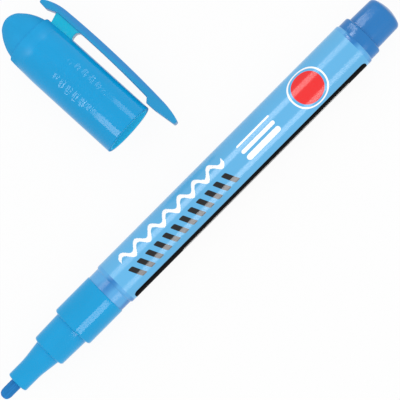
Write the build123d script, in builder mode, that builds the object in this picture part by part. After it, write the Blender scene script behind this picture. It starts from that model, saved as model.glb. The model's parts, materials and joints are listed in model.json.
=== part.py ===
from build123d import *
import os
from math import cos, radians, sin, sqrt, tan

# Liquid chalk marker with its cap taken off. Millimetres, +Z up.
# The pen lies along X with its nib towards -X. The origin is on its axis, at the middle of the label.
# The cap lies beside the pen on the same surface, with its mouth towards the pen.

os.makedirs("parts", exist_ok=True)

# Fits, all on radius
fixed_gap = 0.02
running_gap = 0.05
cap_gap = 0.15

# Barrel and its label film
barrel_length = 83.6
barrel_radius = 6.0
barrel_wall = 1.2
barrel_shoulder = 0.4
barrel_rounding = 0.4
neck_length = 2.9
neck_step = 0.34
label_margin = 1.2
label_thickness = 0.08

# Rear plug
collar_length = 3.0
collar_step = 0.3
collar_rounding = 0.6
knob_length = 8.65
knob_step = 0.8
knob_draft = 0.15
knob_crown = 1.2
knob_rounding = 1.0
plug_spigot_length = 6.0
plug_wall = 1.2

# Grip section, from the barrel towards the nib; its steps are shares of the rise from nose to grip
grip_length = 11.65
grip_step = 0.15
grip_rounding = 0.6
seal_length = 8.3
seal_root_share = 0.664
seal_front_share = 0.586
seal_rounding = 0.6
flare_length = 5.45
flare_share = 0.244
flare_blend = 6.0
nose_length = 5.35
nose_wall = 1.4
nose_rounding = 0.5
grip_spigot_length = 10.5

# Nib and the felt round it
nib_projection = 4.95
nib_radius = 1.5
nib_round_length = 1.9
nib_valve_room = 2.4
buffer_length = 10.0
buffer_wall = 0.9
buffer_bore_gap = 0.1

# Valve behind the nib
seat_thickness = 2.2
seat_flow_gap = 0.4
seat_cone_rise = 0.8
seat_cone_depth = 0.9
stem_pin_radius = 0.9
stem_head_rim = 0.2
stem_head_flow_gap = 0.48
stem_head_thickness = 1.0
stem_guide_radius = 0.8
stem_tail = 2.0
cage_length = 14.0
cage_wall = 0.65
cage_end_thickness = 1.2
cage_ink_hole_radius = 0.55
cage_ink_holes = 6
spring_wire_radius = 0.18
spring_guide_gap = 0.27
spring_turns = 7

# Mixing ball, resting on the bottom of the ink chamber
ball_radius = 2.5
ball_place = 22.0

# Cap: where it lies, its shell and its inner seal
cap_mouth_x = -12.35
cap_distance = 18.2
cap_turn = 2.6
cap_mouth_wall = 1.2
cap_rim_rounding = 0.25
cap_bow_place = 5.8
cap_bow_drop = 0.4
cap_bow_radius = 110.0
cap_shoulder_rounding = 0.4
cap_end_wall = 1.2
dome_length = 7.75
dome_step = 0.5
dome_cone_length = 2.7
dome_cone_drop = 0.68
dome_bulge_place = 0.574
dome_bulge_share = 0.665
nib_end_room = 1.35
nib_side_room = 0.5
socket_margin = 0.8
sleeve_wall = 0.68
sleeve_ledge = 0.65
sleeve_setback = 1.1
seal_gap = 0.05

# Grip grooves on the upper and lower face of the cap, the middle ones longest
groove_count = 6
groove_first = 9.75
groove_pitch = 2.27
groove_width = 1.1
groove_span = 8.0
groove_span_drop = 0.35
groove_depth = 0.12

# Clip: its rear from the cap's closed end, its front from the mouth, its heights from the cap's side
clip_width = 4.4
clip_rear_tip_place = 3.55
clip_rear_tip_inner = 1.35
clip_rear_tip_outer = 2.25
clip_back_rear_place = 10.15
clip_back_rear_height = 4.22
clip_back_height = 4.38
clip_back_front = 2.0
clip_back_front_height = 3.58
clip_front_tip = 7.6
clip_front_tip_inner = 1.25
clip_front_tip_outer = 2.3
clip_tip_rounding = 0.42
clip_tail_place = 5.75
clip_tail_height = 1.15
clip_inner_height = 2.36
clip_inner_middle_height = 2.27
clip_inner_front_height = 1.68
clip_pad_height = 0.56
clip_pad_front = 1.3
clip_pad_rear = -1.1
clip_pad_ramp = 0.9
clip_edge_rounding = 0.3
stalk_rear_place = 8.95
stalk_length = 6.6
stalk_width = 3.4
stalk_flare = 0.6
pivot_radius = 1.1
pivot_setback = 1.7
clip_flex_room = 6.0

# Radii that follow from the barrel, outside and in
neck_radius = barrel_radius - neck_step
collar_radius = barrel_radius - collar_step
knob_root_radius = collar_radius - knob_step
knob_end_radius = knob_root_radius - knob_draft
grip_radius = barrel_radius - grip_step
bore_radius = barrel_radius - barrel_wall
label_bed_radius = barrel_radius - label_thickness
spigot_radius = bore_radius - fixed_gap

# Radii that follow from the nib, and the steps from the nose up to the grip
nib_bore_radius = nib_radius + running_gap
buffer_radius = nib_radius + buffer_wall
nose_radius = nib_radius + nose_wall
nose_to_grip = grip_radius - nose_radius
flare_radius = nose_radius + flare_share * nose_to_grip
seal_front_radius = nose_radius + seal_front_share * nose_to_grip
seal_root_radius = nose_radius + seal_root_share * nose_to_grip

# Radii that follow from the stem
seat_hole_radius = stem_pin_radius + seat_flow_gap
seat_cone_radius = seat_hole_radius + seat_cone_rise
stem_head_radius = seat_cone_radius + stem_head_rim
cage_inner_radius = stem_head_radius + stem_head_flow_gap
valve_bore_radius = cage_inner_radius + cage_wall + fixed_gap
spring_mean_radius = stem_guide_radius + spring_guide_gap + spring_wire_radius
cage_ink_hole_circle = (spring_mean_radius + spring_wire_radius + cage_inner_radius) / 2

# Radii of the cap, which fits over the grip
cap_bore_radius = grip_radius + cap_gap
cap_mouth_radius = cap_bore_radius + cap_mouth_wall
cap_shoulder_radius = cap_mouth_radius - cap_bow_drop
dome_base_radius = cap_shoulder_radius - dome_step
dome_cone_end_radius = dome_base_radius - dome_cone_drop
seal_sleeve_radius = seal_root_radius + seal_gap + sleeve_wall + fixed_gap
cap_cavity_radius = seal_sleeve_radius - sleeve_ledge
cap_cavity_end_radius = nib_radius + nib_side_room

# Places along the pen
barrel_front = -barrel_length / 2
barrel_rear = barrel_length / 2
neck_front = barrel_front - neck_length
collar_rear = barrel_rear + collar_length
knob_rear = collar_rear + knob_length
plug_front = barrel_rear - plug_spigot_length
grip_front = neck_front - grip_length
seal_front = grip_front - seal_length
flare_front = seal_front - flare_length
nose_front = flare_front - nose_length
nib_tip = nose_front - nib_projection
grip_spigot_rear = neck_front + grip_spigot_length

# Places of the valve, each piece seated on the one before it
seat_front = grip_front + grip_rounding
nib_rear = seat_front - nib_valve_room
seat_rear = seat_front + seat_thickness
buffer_front = seat_front - buffer_length
head_front = seat_rear + running_gap
head_rear = head_front + stem_head_thickness
cage_rear = seat_rear + cage_length
cage_end_front = cage_rear - cage_end_thickness
stem_rear = cage_rear + stem_tail

# Places along the cap, negative inside it; it covers all that stands in front of the barrel
cavity_end = nib_tip - nib_end_room - barrel_front
cap_end = cavity_end - cap_end_wall
socket_end = grip_front - socket_margin - barrel_front
seal_reach = seal_front - barrel_front
dome_base = cap_end + dome_length
dome_cone_end = dome_base - dome_cone_length
sleeve_end = dome_base + sleeve_setback
stalk_rear = cap_end + stalk_rear_place
stalk_front = stalk_rear + stalk_length
pivot_x = stalk_rear + pivot_setback
pivot_height = cap_mouth_radius + clip_inner_height
stalk_top = pivot_height - running_gap
stalk_rear_top = stalk_top - pivot_setback * tan(radians(clip_flex_room))
stalk_middle = (stalk_top + cap_shoulder_radius) / 2
cap_bow = dome_base + cap_bow_place
dome_bulge = dome_cone_end + dome_bulge_place * (cap_end - dome_cone_end)
cap_axis_height = cap_mouth_radius - barrel_radius
cap_mouth_y = barrel_radius + cap_distance

# The cap's own plane: local X runs out of its mouth, local Y towards its clip
cap_plane = Plane(
    origin=(cap_mouth_x, cap_mouth_y, cap_axis_height),
    x_dir=(sin(radians(cap_turn)), -cos(radians(cap_turn)), 0),
    z_dir=(0, 0, 1),
)
cap_axis = Axis(cap_plane.origin, cap_plane.x_dir)


def finish(piece, name):
    """Label a finished piece and write it."""
    piece.label = name
    export_step(piece, f"parts/{name}.step")


# Barrel: a plain tube with a narrower neck in front and a shallow bed for the label
label_front = barrel_front + label_margin
label_rear = barrel_rear - label_margin
with BuildPart() as barrel:
    with BuildSketch():
        with BuildLine():
            FilletPolyline(
                (neck_front, bore_radius),
                (neck_front, neck_radius),
                (barrel_front, neck_radius),
                (barrel_front + barrel_shoulder, barrel_radius),
                (label_front, barrel_radius),
                (label_front, label_bed_radius),
                (label_rear, label_bed_radius),
                (label_rear, barrel_radius),
                (barrel_rear - barrel_shoulder, barrel_radius),
                (barrel_rear, collar_radius),
                (barrel_rear, bore_radius),
                radius=[0, 0, 0, barrel_rounding, 0, 0, 0, 0, barrel_rounding, 0, 0],
                close=True,
            )
        make_face()
    revolve(axis=Axis.X)
finish(barrel.part, "barrel")

# Label: a film sleeve in the barrel's bed, flush with the barrel's ends
with BuildPart() as label_wrap:
    with BuildSketch(Plane.YZ.offset(label_front)):
        Circle(barrel_radius)
        Circle(label_bed_radius + fixed_gap / 2, mode=Mode.SUBTRACT)
    extrude(amount=label_rear - label_front)
finish(label_wrap.part, "label_wrap")

# Rear plug: collar and knob outside, hollow spigot inside the barrel
knob_crown_start = knob_rear - knob_crown
plug_hollow_radius = spigot_radius - plug_wall
with BuildPart() as rear_plug:
    with BuildSketch():
        with BuildLine():
            FilletPolyline(
                (plug_front, plug_hollow_radius),
                (plug_front, spigot_radius),
                (barrel_rear, spigot_radius),
                (barrel_rear, collar_radius),
                (collar_rear, collar_radius),
                (collar_rear, knob_root_radius),
                (knob_crown_start, knob_end_radius),
                (knob_rear, 0),
                (knob_rear - plug_wall, 0),
                (knob_rear - plug_wall - knob_crown, plug_hollow_radius),
                radius=[0, 0, 0, 0, collar_rounding, 0, knob_rounding, 0, 0, 0],
                close=True,
            )
        make_face()
    revolve(axis=Axis.X)
finish(rear_plug.part, "rear_plug")

# Grip section: stepped outside, and bored for the nib, the felt and the valve
with BuildPart() as grip_section:
    with BuildSketch():
        with BuildLine():
            FilletPolyline(
                (nose_front, nib_bore_radius),
                (nose_front, nose_radius),
                (flare_front, nose_radius),
                (seal_front, flare_radius),
                (seal_front, seal_front_radius),
                (grip_front, seal_root_radius),
                (grip_front, grip_radius),
                (neck_front, grip_radius),
                (neck_front, spigot_radius),
                (grip_spigot_rear, spigot_radius),
                (grip_spigot_rear, valve_bore_radius),
                (seat_front, valve_bore_radius),
                (seat_front, buffer_radius),
                (buffer_front, buffer_radius),
                (buffer_front, nib_bore_radius),
                radius=[0, nose_rounding, flare_blend, 0, seal_rounding, 0, grip_rounding, grip_rounding / 2]
                + [0] * 7,
                close=True,
            )
        make_face()
    revolve(axis=Axis.X)
finish(grip_section.part, "grip_section")

# Nib: a fibre rod with a bullet point
nib_round_start = nib_tip + nib_round_length
with BuildPart() as nib:
    with BuildSketch():
        with BuildLine():
            Spline((nib_round_start, nib_radius), (nib_tip, 0), tangents=[(-1, 0), (0, -1)])
            Polyline((nib_tip, 0), (nib_rear, 0), (nib_rear, nib_radius), (nib_round_start, nib_radius))
        make_face()
    revolve(axis=Axis.X)
finish(nib.part, "nib")

# Felt sleeve that keeps some ink round the nib
with BuildPart() as ink_buffer:
    with BuildSketch(Plane.YZ.offset(buffer_front)):
        Circle(buffer_radius - fixed_gap)
        Circle(nib_radius + buffer_bore_gap, mode=Mode.SUBTRACT)
    extrude(amount=buffer_length)
finish(ink_buffer.part, "ink_buffer")

# Valve seat: an elastic ring with a cone that the stem closes on
with BuildPart() as valve_seat:
    with BuildSketch():
        with BuildLine():
            Polyline(
                (seat_front, seat_hole_radius),
                (seat_front, valve_bore_radius - fixed_gap),
                (seat_rear, valve_bore_radius - fixed_gap),
                (seat_rear, seat_cone_radius),
                (seat_rear - seat_cone_depth, seat_hole_radius),
                close=True,
            )
        make_face()
    revolve(axis=Axis.X)
finish(valve_seat.part, "valve_seat")

# Valve stem: front pin against the nib, conical head on the seat, guide through the cage
cone_slope = (seat_cone_radius - seat_hole_radius) / seat_cone_depth
cone_reach = (seat_cone_radius - stem_pin_radius) / cone_slope
with BuildPart() as valve_stem:
    with BuildSketch():
        with BuildLine():
            Polyline(
                (nib_rear, 0),
                (nib_rear, stem_pin_radius),
                (head_front - cone_reach, stem_pin_radius),
                (head_front, seat_cone_radius),
                (head_front, stem_head_radius),
                (head_rear, stem_head_radius),
                (head_rear, stem_guide_radius),
                (stem_rear, stem_guide_radius),
                (stem_rear, 0),
                close=True,
            )
        make_face()
    revolve(axis=Axis.X)
finish(valve_stem.part, "valve_stem")

# Spring cage: a cup behind the seat, with a guide hole and ink holes in its end
with BuildPart() as spring_cage:
    with BuildSketch(Plane.YZ.offset(seat_rear)):
        Circle(valve_bore_radius - fixed_gap)
    extrude(amount=cage_length)
    with BuildSketch(Plane.YZ.offset(seat_rear)):
        Circle(cage_inner_radius)
    extrude(amount=cage_length - cage_end_thickness, mode=Mode.SUBTRACT)
    with BuildSketch(Plane.YZ.offset(cage_end_front)):
        Circle(stem_guide_radius + running_gap)
        with PolarLocations(cage_ink_hole_circle, cage_ink_holes):
            Circle(cage_ink_hole_radius)
    extrude(amount=cage_end_thickness, mode=Mode.SUBTRACT)
finish(spring_cage.part, "spring_cage")

# Valve spring: one helix between the stem's head and the cage's end, in half-turn pairs of arcs
coil_front = head_rear + spring_wire_radius + running_gap
coil_rear = cage_end_front - spring_wire_radius - running_gap
coil_pitch = (coil_rear - coil_front) / spring_turns
coil_rise = coil_pitch / 360


def coil_point(angle):
    """Point of the spring's centre line after a turn of so many degrees."""
    return Vector(
        coil_front + coil_rise * angle,
        spring_mean_radius * cos(radians(angle)),
        spring_mean_radius * sin(radians(angle)),
    )


def coil_direction(angle):
    """Direction of the spring's centre line there."""
    turn_speed = radians(1) * spring_mean_radius
    return Vector(
        coil_rise,
        -turn_speed * sin(radians(angle)),
        turn_speed * cos(radians(angle)),
    ).normalized()


def biarc_middle(start, start_way, end, end_way):
    """Point where two tangent arcs meet that join two points with given directions."""
    chord = end - start
    ways = start_way + end_way
    spread = 2 * (1 - start_way.dot(end_way))
    along = chord.dot(ways)
    reach = (sqrt(along**2 + spread * chord.dot(chord)) - along) / spread
    return (start + end + (start_way - end_way) * reach) * 0.5


with BuildPart() as valve_spring:
    with BuildLine() as coil:
        for half_turn in range(2 * spring_turns):
            start_angle = 180 * half_turn
            end_angle = start_angle + 180
            start = coil_point(start_angle)
            end = coil_point(end_angle)
            middle = biarc_middle(start, coil_direction(start_angle), end, coil_direction(end_angle))
            first = TangentArc(start, middle, tangent=coil_direction(start_angle))
            TangentArc(middle, end, tangent=first % 1)
    with BuildSketch(Plane(origin=coil_point(0), z_dir=coil_direction(0))):
        Circle(spring_wire_radius)
    sweep(path=coil.wire())
finish(valve_spring.part, "valve_spring")

# Mixing ball, loose in the ink chamber behind the valve
ball_drop = bore_radius - ball_radius - running_gap
with BuildPart() as mixing_ball:
    with Locations((grip_spigot_rear + ball_place, 0, -ball_drop)):
        Sphere(ball_radius)
finish(mixing_ball.part, "mixing_ball")

# Cutter of the cap's grip grooves: slots across the cap, kept only where they dip into its outside
groove_middle = (groove_count - 1) / 2
groove_reach = groove_first + groove_pitch * groove_count
with BuildPart() as groove_cutter:
    with BuildSketch(cap_plane):
        for number in range(groove_count):
            span = groove_span - groove_span_drop * (number - groove_middle) ** 2
            with Locations((-groove_first - groove_pitch * number, 0)):
                SlotOverall(span, groove_width, rotation=90)
    extrude(amount=cap_mouth_radius + groove_depth, both=True)
    with BuildSketch(cap_plane):
        with BuildLine():
            Polyline(
                (0, cap_mouth_radius - groove_depth),
                (0, cap_mouth_radius + groove_depth),
                (-groove_reach, cap_mouth_radius + groove_depth),
                (-groove_reach, cap_mouth_radius - groove_depth),
                close=True,
            )
        make_face()
    revolve(axis=cap_axis, mode=Mode.INTERSECT)

# Cap shell: a tube that bows in towards its dome, with grooves, the clip's stalk, and a stepped bore
with BuildPart() as cap_shell:
    with BuildSketch(cap_plane):
        with BuildLine():
            FilletPolyline(
                (dome_base, 0),
                (0, 0),
                (0, cap_mouth_radius),
                (cap_bow, cap_mouth_radius),
                (dome_base, cap_shoulder_radius),
                (dome_base, dome_base_radius),
                radius=[0, cap_rim_rounding, cap_bow_radius, cap_shoulder_rounding],
            )
            cone = Line((dome_base, dome_base_radius), (dome_cone_end, dome_cone_end_radius))
            bulge = (dome_bulge, dome_bulge_share * dome_cone_end_radius)
            Spline(cone @ 1, bulge, (cap_end, 0), tangents=[cone % 1, (0, -1)])
            Line((cap_end, 0), (dome_base, 0))
        make_face()
    revolve(axis=cap_axis)
    add(groove_cutter.part, mode=Mode.SUBTRACT)
    with BuildSketch(cap_plane):
        with BuildLine():
            root = Polyline(
                (stalk_front + stalk_flare, stalk_top),
                (pivot_x, stalk_top),
                (stalk_rear, stalk_rear_top),
                (stalk_rear, 0),
                (stalk_front + stalk_flare, 0),
                (stalk_front + stalk_flare, cap_shoulder_radius),
            )
            ThreePointArc(root @ 1, (stalk_front, stalk_middle), root @ 0)
        make_face()
        with Locations((pivot_x, pivot_height)):
            Circle(pivot_radius + running_gap, mode=Mode.SUBTRACT)
    extrude(amount=stalk_width / 2, both=True)
    with BuildSketch(cap_plane):
        with BuildLine():
            Polyline(
                (0, 0),
                (0, cap_bore_radius),
                (socket_end, cap_bore_radius),
                (socket_end, seal_sleeve_radius),
                (sleeve_end, seal_sleeve_radius),
                (sleeve_end, cap_cavity_radius),
                (cavity_end, cap_cavity_end_radius),
                (cavity_end, 0),
                close=True,
            )
        make_face()
    revolve(axis=cap_axis, mode=Mode.SUBTRACT)
finish(cap_shell.part, "cap_shell")

# Inner seal: a sleeve whose bore follows the taper of the grip section's seal cylinder
with BuildPart() as cap_inner_seal:
    with BuildSketch(cap_plane):
        with BuildLine():
            Polyline(
                (socket_end, seal_root_radius + seal_gap),
                (socket_end, seal_sleeve_radius - fixed_gap),
                (sleeve_end, seal_sleeve_radius - fixed_gap),
                (sleeve_end, seal_front_radius + seal_gap),
                (seal_reach, seal_front_radius + seal_gap),
                close=True,
            )
        make_face()
    revolve(axis=cap_axis)
finish(cap_inner_seal.part, "cap_inner_seal")

# Clip: a long arm with a hooked tail and a pad at the mouth, on a round flexure boss over the stalk
clip_rear_tip = cap_end + clip_rear_tip_place
clip_back_rear = cap_end + clip_back_rear_place
clip_back_middle = (clip_back_rear + clip_back_front) / 2
clip_inner_middle = (clip_pad_rear - clip_pad_ramp + stalk_front) / 2
clip_plane = cap_plane.shift_origin(cap_plane.from_local_coords((0, cap_mouth_radius, 0)))
with BuildPart() as pocket_clip:
    with BuildSketch(clip_plane) as clip_side:
        with BuildLine():
            back = ThreePointArc(
                (clip_back_rear, clip_back_rear_height),
                (clip_back_middle, clip_back_height),
                (clip_back_front, clip_back_front_height),
            )
            TangentArc(back @ 0, (clip_rear_tip, clip_rear_tip_outer), tangent=(back % 0) * -1)
            TangentArc(back @ 1, (clip_front_tip, clip_front_tip_outer), tangent=back % 1)
            pad = Polyline(
                (clip_front_tip, clip_front_tip_outer),
                (clip_front_tip, clip_front_tip_inner),
                (clip_pad_front, clip_pad_height),
                (clip_pad_rear, clip_pad_height),
                (clip_pad_rear - clip_pad_ramp, clip_inner_front_height),
            )
            ThreePointArc(pad @ 1, (clip_inner_middle, clip_inner_middle_height), (stalk_front, clip_inner_height))
            Polyline(
                (stalk_front, clip_inner_height),
                (stalk_rear, clip_inner_height),
                (cap_end + clip_tail_place, clip_tail_height),
                (clip_rear_tip, clip_rear_tip_inner),
                (clip_rear_tip, clip_rear_tip_outer),
            )
        make_face()
        fillet(clip_side.vertices().group_by(Axis.X)[0], clip_tip_rounding)
        fillet(clip_side.vertices().group_by(Axis.X)[-1], clip_tip_rounding)
    extrude(amount=clip_width / 2, both=True)
    fillet(pocket_clip.faces().group_by(Axis.Z)[-1].edges(), clip_edge_rounding)
    fillet(pocket_clip.faces().group_by(Axis.Z)[0].edges(), clip_edge_rounding)
    with BuildSketch(clip_plane):
        with Locations((pivot_x, clip_inner_height)):
            Circle(pivot_radius)
    extrude(amount=stalk_width / 2, both=True)
finish(pocket_clip.part, "pocket_clip")
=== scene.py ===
import json
from math import cos, pi, radians, sin, tan

import bmesh
import bpy
from bpy.props import FloatProperty, FloatVectorProperty, IntProperty, PointerProperty
from mathutils import Matrix, Vector


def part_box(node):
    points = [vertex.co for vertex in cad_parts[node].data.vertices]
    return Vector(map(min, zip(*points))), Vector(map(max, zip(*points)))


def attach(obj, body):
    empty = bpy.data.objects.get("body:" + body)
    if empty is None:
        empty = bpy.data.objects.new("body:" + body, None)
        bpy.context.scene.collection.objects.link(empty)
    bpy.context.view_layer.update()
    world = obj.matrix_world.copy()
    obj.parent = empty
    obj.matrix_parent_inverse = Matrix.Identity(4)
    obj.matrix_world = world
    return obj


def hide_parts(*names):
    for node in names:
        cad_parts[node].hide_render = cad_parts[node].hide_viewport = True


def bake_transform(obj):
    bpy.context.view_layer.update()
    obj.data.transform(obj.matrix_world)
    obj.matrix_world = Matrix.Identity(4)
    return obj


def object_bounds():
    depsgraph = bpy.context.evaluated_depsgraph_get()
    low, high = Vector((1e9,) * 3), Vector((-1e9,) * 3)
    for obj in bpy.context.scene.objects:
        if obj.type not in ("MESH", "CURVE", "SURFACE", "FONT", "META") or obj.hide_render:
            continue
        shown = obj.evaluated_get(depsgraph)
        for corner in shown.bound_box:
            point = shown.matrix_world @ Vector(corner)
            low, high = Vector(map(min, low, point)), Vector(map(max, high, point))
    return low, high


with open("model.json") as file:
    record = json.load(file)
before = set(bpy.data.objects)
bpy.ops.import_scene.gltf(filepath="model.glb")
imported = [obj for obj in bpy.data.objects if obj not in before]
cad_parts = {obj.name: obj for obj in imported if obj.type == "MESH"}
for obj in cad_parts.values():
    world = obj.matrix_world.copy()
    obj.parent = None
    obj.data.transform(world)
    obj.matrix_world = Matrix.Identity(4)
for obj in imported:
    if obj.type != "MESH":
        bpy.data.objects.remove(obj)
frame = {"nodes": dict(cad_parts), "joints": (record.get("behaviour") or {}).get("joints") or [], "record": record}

# Looks of a liquid chalk marker whose cap lies beside it. Metres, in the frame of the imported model:
# +X along the pen from nib to tail, +Y towards the cap, +Z up.

bl_info = {
    "name": "Liquid chalk marker",
    "version": (1, 0, 0),
    "blender": (4, 5, 0),
    "location": "3D View > Sidebar > Marker",
    "description": "Dresses a chalk marker and its clip cap, and sets them on a white table",
    "category": "Object",
}

cad_low, cad_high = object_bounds()
cad_nodes = frame["nodes"]
mounts = {mount["name"]: mount for mount in frame["record"]["mounts"]}
joints = {joint["name"]: joint for joint in frame["joints"]}

MM = 0.001


def linear(red, green, blue):
    """Linear colour of a display colour given in 0 to 255."""
    shares = (red / 255, green / 255, blue / 255)
    return tuple(((share + 0.055) / 1.055) ** 2.4 if share > 0.04 else share / 12.92 for share in shares)


def colour(name, description, display):
    """Colour property with a default given as a display colour."""
    return FloatVectorProperty(
        name=name, description=description, default=linear(*display), subtype="COLOR", size=3, min=0, max=1
    )


def length(name, description, millimetres):
    """Length property with a default given in millimetres."""
    return FloatProperty(
        name=name, description=description, default=millimetres * MM, unit="LENGTH", precision=5
    )


def angle(name, description, degrees):
    """Angle property with a default given in degrees."""
    return FloatProperty(name=name, description=description, default=radians(degrees), unit="ROTATION")


class MarkerColours(bpy.types.PropertyGroup):
    """Colours of the mouldings and of the print."""

    barrel: colour("Barrel", "Tinted plastic of the barrel and its neck", (84, 164, 219))
    # Barrel deep serves both the random ink streaks and painted shade in lobes around the barrel.
    barrel_deep: colour("Barrel deep", "Barrel where ink shows through the wall", (30, 118, 188))
    film: colour("Film", "Ground of the label film", (92, 173, 221))
    print_dark: colour("Dark print", "Dark strokes and the back panel", (6, 6, 8))
    # The dark strokes are coloured grey on their half towards -Y.
    stroke_half_grey: colour("Grey print", "Lower half of the dark strokes", (104, 104, 106))
    print_white: colour("White print", "Chalk line, line samples and ring", (250, 250, 250))
    print_red: colour("Red print", "Disc near the tail", (232, 36, 38))
    plug: colour("Tail plug", "Moulding of the tail plug", (38, 117, 184))
    grip: colour("Grip", "Moulding of the grip section", (14, 154, 211))
    nib: colour("Nib", "Ink-soaked fibre of the nib", (28, 119, 186))
    cap: colour("Cap", "Moulding of the cap", (8, 152, 210))
    clip: colour("Clip", "Moulding of the clip's arm", (30, 146, 199))
    # Painted shade: the outer half of the clip's arm is coloured darker than the rest of the arm.
    clip_painted_shade: colour("Clip back", "Outer half of the clip's arm, which is thicker", (50, 134, 195))
    # Painted light: the cap's inside is coloured brighter than its outside to stand in for light coming through
    # its wall.
    cap_room_painted_light: colour("Cap room", "Inside of the cap, which light reaches through its wall", (46, 214, 255))
    stalk: colour("Stalk", "Thin moulding where the clip leaves the cap", (0, 180, 213))
    liner: colour("Liner", "Soft seal inside the cap", (176, 214, 240))
    rubber: colour("Rubber", "Ring that the valve closes on", (46, 46, 48))
    valve: colour("Valve", "Natural moulding of the valve stem and its cage", (232, 233, 232))


class MarkerPrint(bpy.types.PropertyGroup):
    """Sizes of the plain print on the label film, along the pen and around it from its top."""

    row_start: length("Row start", "Where both rows of print begin along the pen", -36.5)
    row_end: length("Row end", "Where both rows of print end along the pen", -1.5)
    wave_place: length("Wave place", "Chalk line's distance from the top of the barrel", 2.5)
    wave_height: length("Wave height", "Swing of the chalk line to each side", 1.15)
    wave_length: length("Wave length", "One swing of the chalk line", 5.0)
    wave_width: length("Wave width", "Width of the chalk line", 0.95)
    stroke_place: length("Stroke place", "Dark strokes' distance from the top of the barrel", -2.3)
    stroke_height: length("Stroke height", "Height of a dark stroke", 3.8)
    stroke_width: length("Stroke width", "Width of a dark stroke", 1.5)
    stroke_pitch: length("Stroke pitch", "Distance from one dark stroke to the next", 2.9)
    stroke_lean: angle("Stroke lean", "Lean of the dark strokes", 24)
    sample_start: length("Sample start", "Where the line samples begin along the pen", 3.0)
    sample_length: length("Sample length", "Length of a line sample", 11.0)
    sample_pitch: length("Sample pitch", "Distance from one line sample to the next", 2.0)
    sample_width: length("Sample width", "Width of the widest line sample", 1.5)
    disc_place: length("Disc place", "Middle of the red disc along the pen", 25.5)
    disc_radius: length("Disc radius", "Radius of the red disc", 4.2)
    ring_radius: length("Ring radius", "Middle radius of the ring round the disc", 5.1)
    ring_width: length("Ring width", "Width of the ring round the disc", 0.45)
    panel_place: length("Panel place", "Middle of the back panel around the pen", -12.65)
    panel_width: length("Panel width", "Width of the back panel", 12.8)
    panel_length: length("Panel length", "Length of the back panel", 79.6)
    panel_corner: length("Panel corner", "Corner radius of the back panel", 1.2)
    rule_pitch: length("Rule pitch", "Distance between the thin lines on the back panel", 1.6)
    rule_width: length("Rule width", "Width of the thin lines on the back panel", 0.3)


class MarkerPen(bpy.types.PropertyGroup):
    """Sizes of the pen's turned pieces, as places along the pen and radii."""

    barrel_reach: length("Barrel reach", "Half the length of the barrel without its neck", 41.8)
    barrel_radius: length("Barrel radius", "Outer radius of the barrel", 6.0)
    bore_radius: length("Bore radius", "Radius of the ink room", 4.8)
    neck_front: length("Neck front", "Front end of the barrel's neck", -44.7)
    neck_radius: length("Neck radius", "Outer radius of the neck", 5.66)
    label_reach: length("Label reach", "Half the length of the label film", 40.6)
    label_bed: length("Label bed", "Radius of the barrel under the film", 5.92)
    collar_rear: length("Collar rear", "Rear end of the tail plug's collar", 44.8)
    collar_radius: length("Collar radius", "Outer radius of the collar", 5.7)
    knob_rear: length("Knob rear", "Rear end of the knob", 53.45)
    knob_root_radius: length("Knob root radius", "Radius of the knob at the collar", 4.9)
    knob_end_radius: length("Knob end radius", "Radius of the knob at its crown", 4.75)
    knob_crown: length("Knob crown", "Height of the knob's crown", 1.2)
    plug_front: length("Plug front", "Front end of the plug's spigot in the barrel", 35.8)
    spigot_radius: length("Spigot radius", "Radius of the spigots that sit in the barrel", 4.78)
    plug_room_radius: length("Plug room radius", "Radius of the hollow in the plug", 3.58)
    grip_front: length("Grip front", "Front end of the grip", -56.35)
    grip_radius: length("Grip radius", "Radius of the grip", 5.85)
    seal_front: length("Seal front", "Front end of the seal cylinder", -64.65)
    seal_root_radius: length("Seal root radius", "Radius of the seal cylinder at the grip", 4.859)
    seal_front_radius: length("Seal front radius", "Radius of the seal cylinder at its front", 4.629)
    flare_front: length("Flare front", "Front end of the flare", -70.1)
    flare_radius: length("Flare radius", "Radius of the flare at the seal cylinder", 3.62)
    nose_front: length("Nose front", "Front end of the nose", -75.45)
    nose_radius: length("Nose radius", "Radius of the nose", 2.9)
    nib_bore_radius: length("Nib bore radius", "Radius of the hole that guides the nib", 1.55)
    felt_front: length("Felt front", "Front end of the room for the felt", -65.75)
    felt_radius: length("Felt radius", "Radius of the room for the felt", 2.4)
    valve_front: length("Valve front", "Front end of the room for the valve", -55.75)
    valve_radius: length("Valve radius", "Radius of the room for the valve", 3.45)
    spigot_rear: length("Spigot rear", "Rear end of the grip's spigot in the barrel", -34.2)
    shoulder_width: length("Shoulder width", "Slope at both ends of the barrel", 0.4)
    barrel_rounding: length("Barrel rounding", "Rounding of the barrel's shoulders", 0.15)
    crown_rounding: length("Crown rounding", "Rounding in the middle of the knob's crown", 1.6)
    knob_rounding: length("Knob rounding", "Rounding of the knob's rear edge", 0.8)
    edge_rounding: length("Edge rounding", "Rounding of the collar, the seal cylinder and the grip", 0.6)
    nose_rounding: length("Nose rounding", "Rounding of the nose's front edge", 0.5)
    flare_rounding: length("Flare rounding", "Rounding where the flare meets the nose", 1.2)
    grip_rounding: length("Grip rounding", "Rounding of the grip's edge at the neck", 0.3)
    spring_wire: length("Spring wire", "Radius of the valve spring's wire", 0.18)
    spring_turns: IntProperty(name="Spring turns", description="Turns of the valve spring", default=7, min=1)


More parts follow.
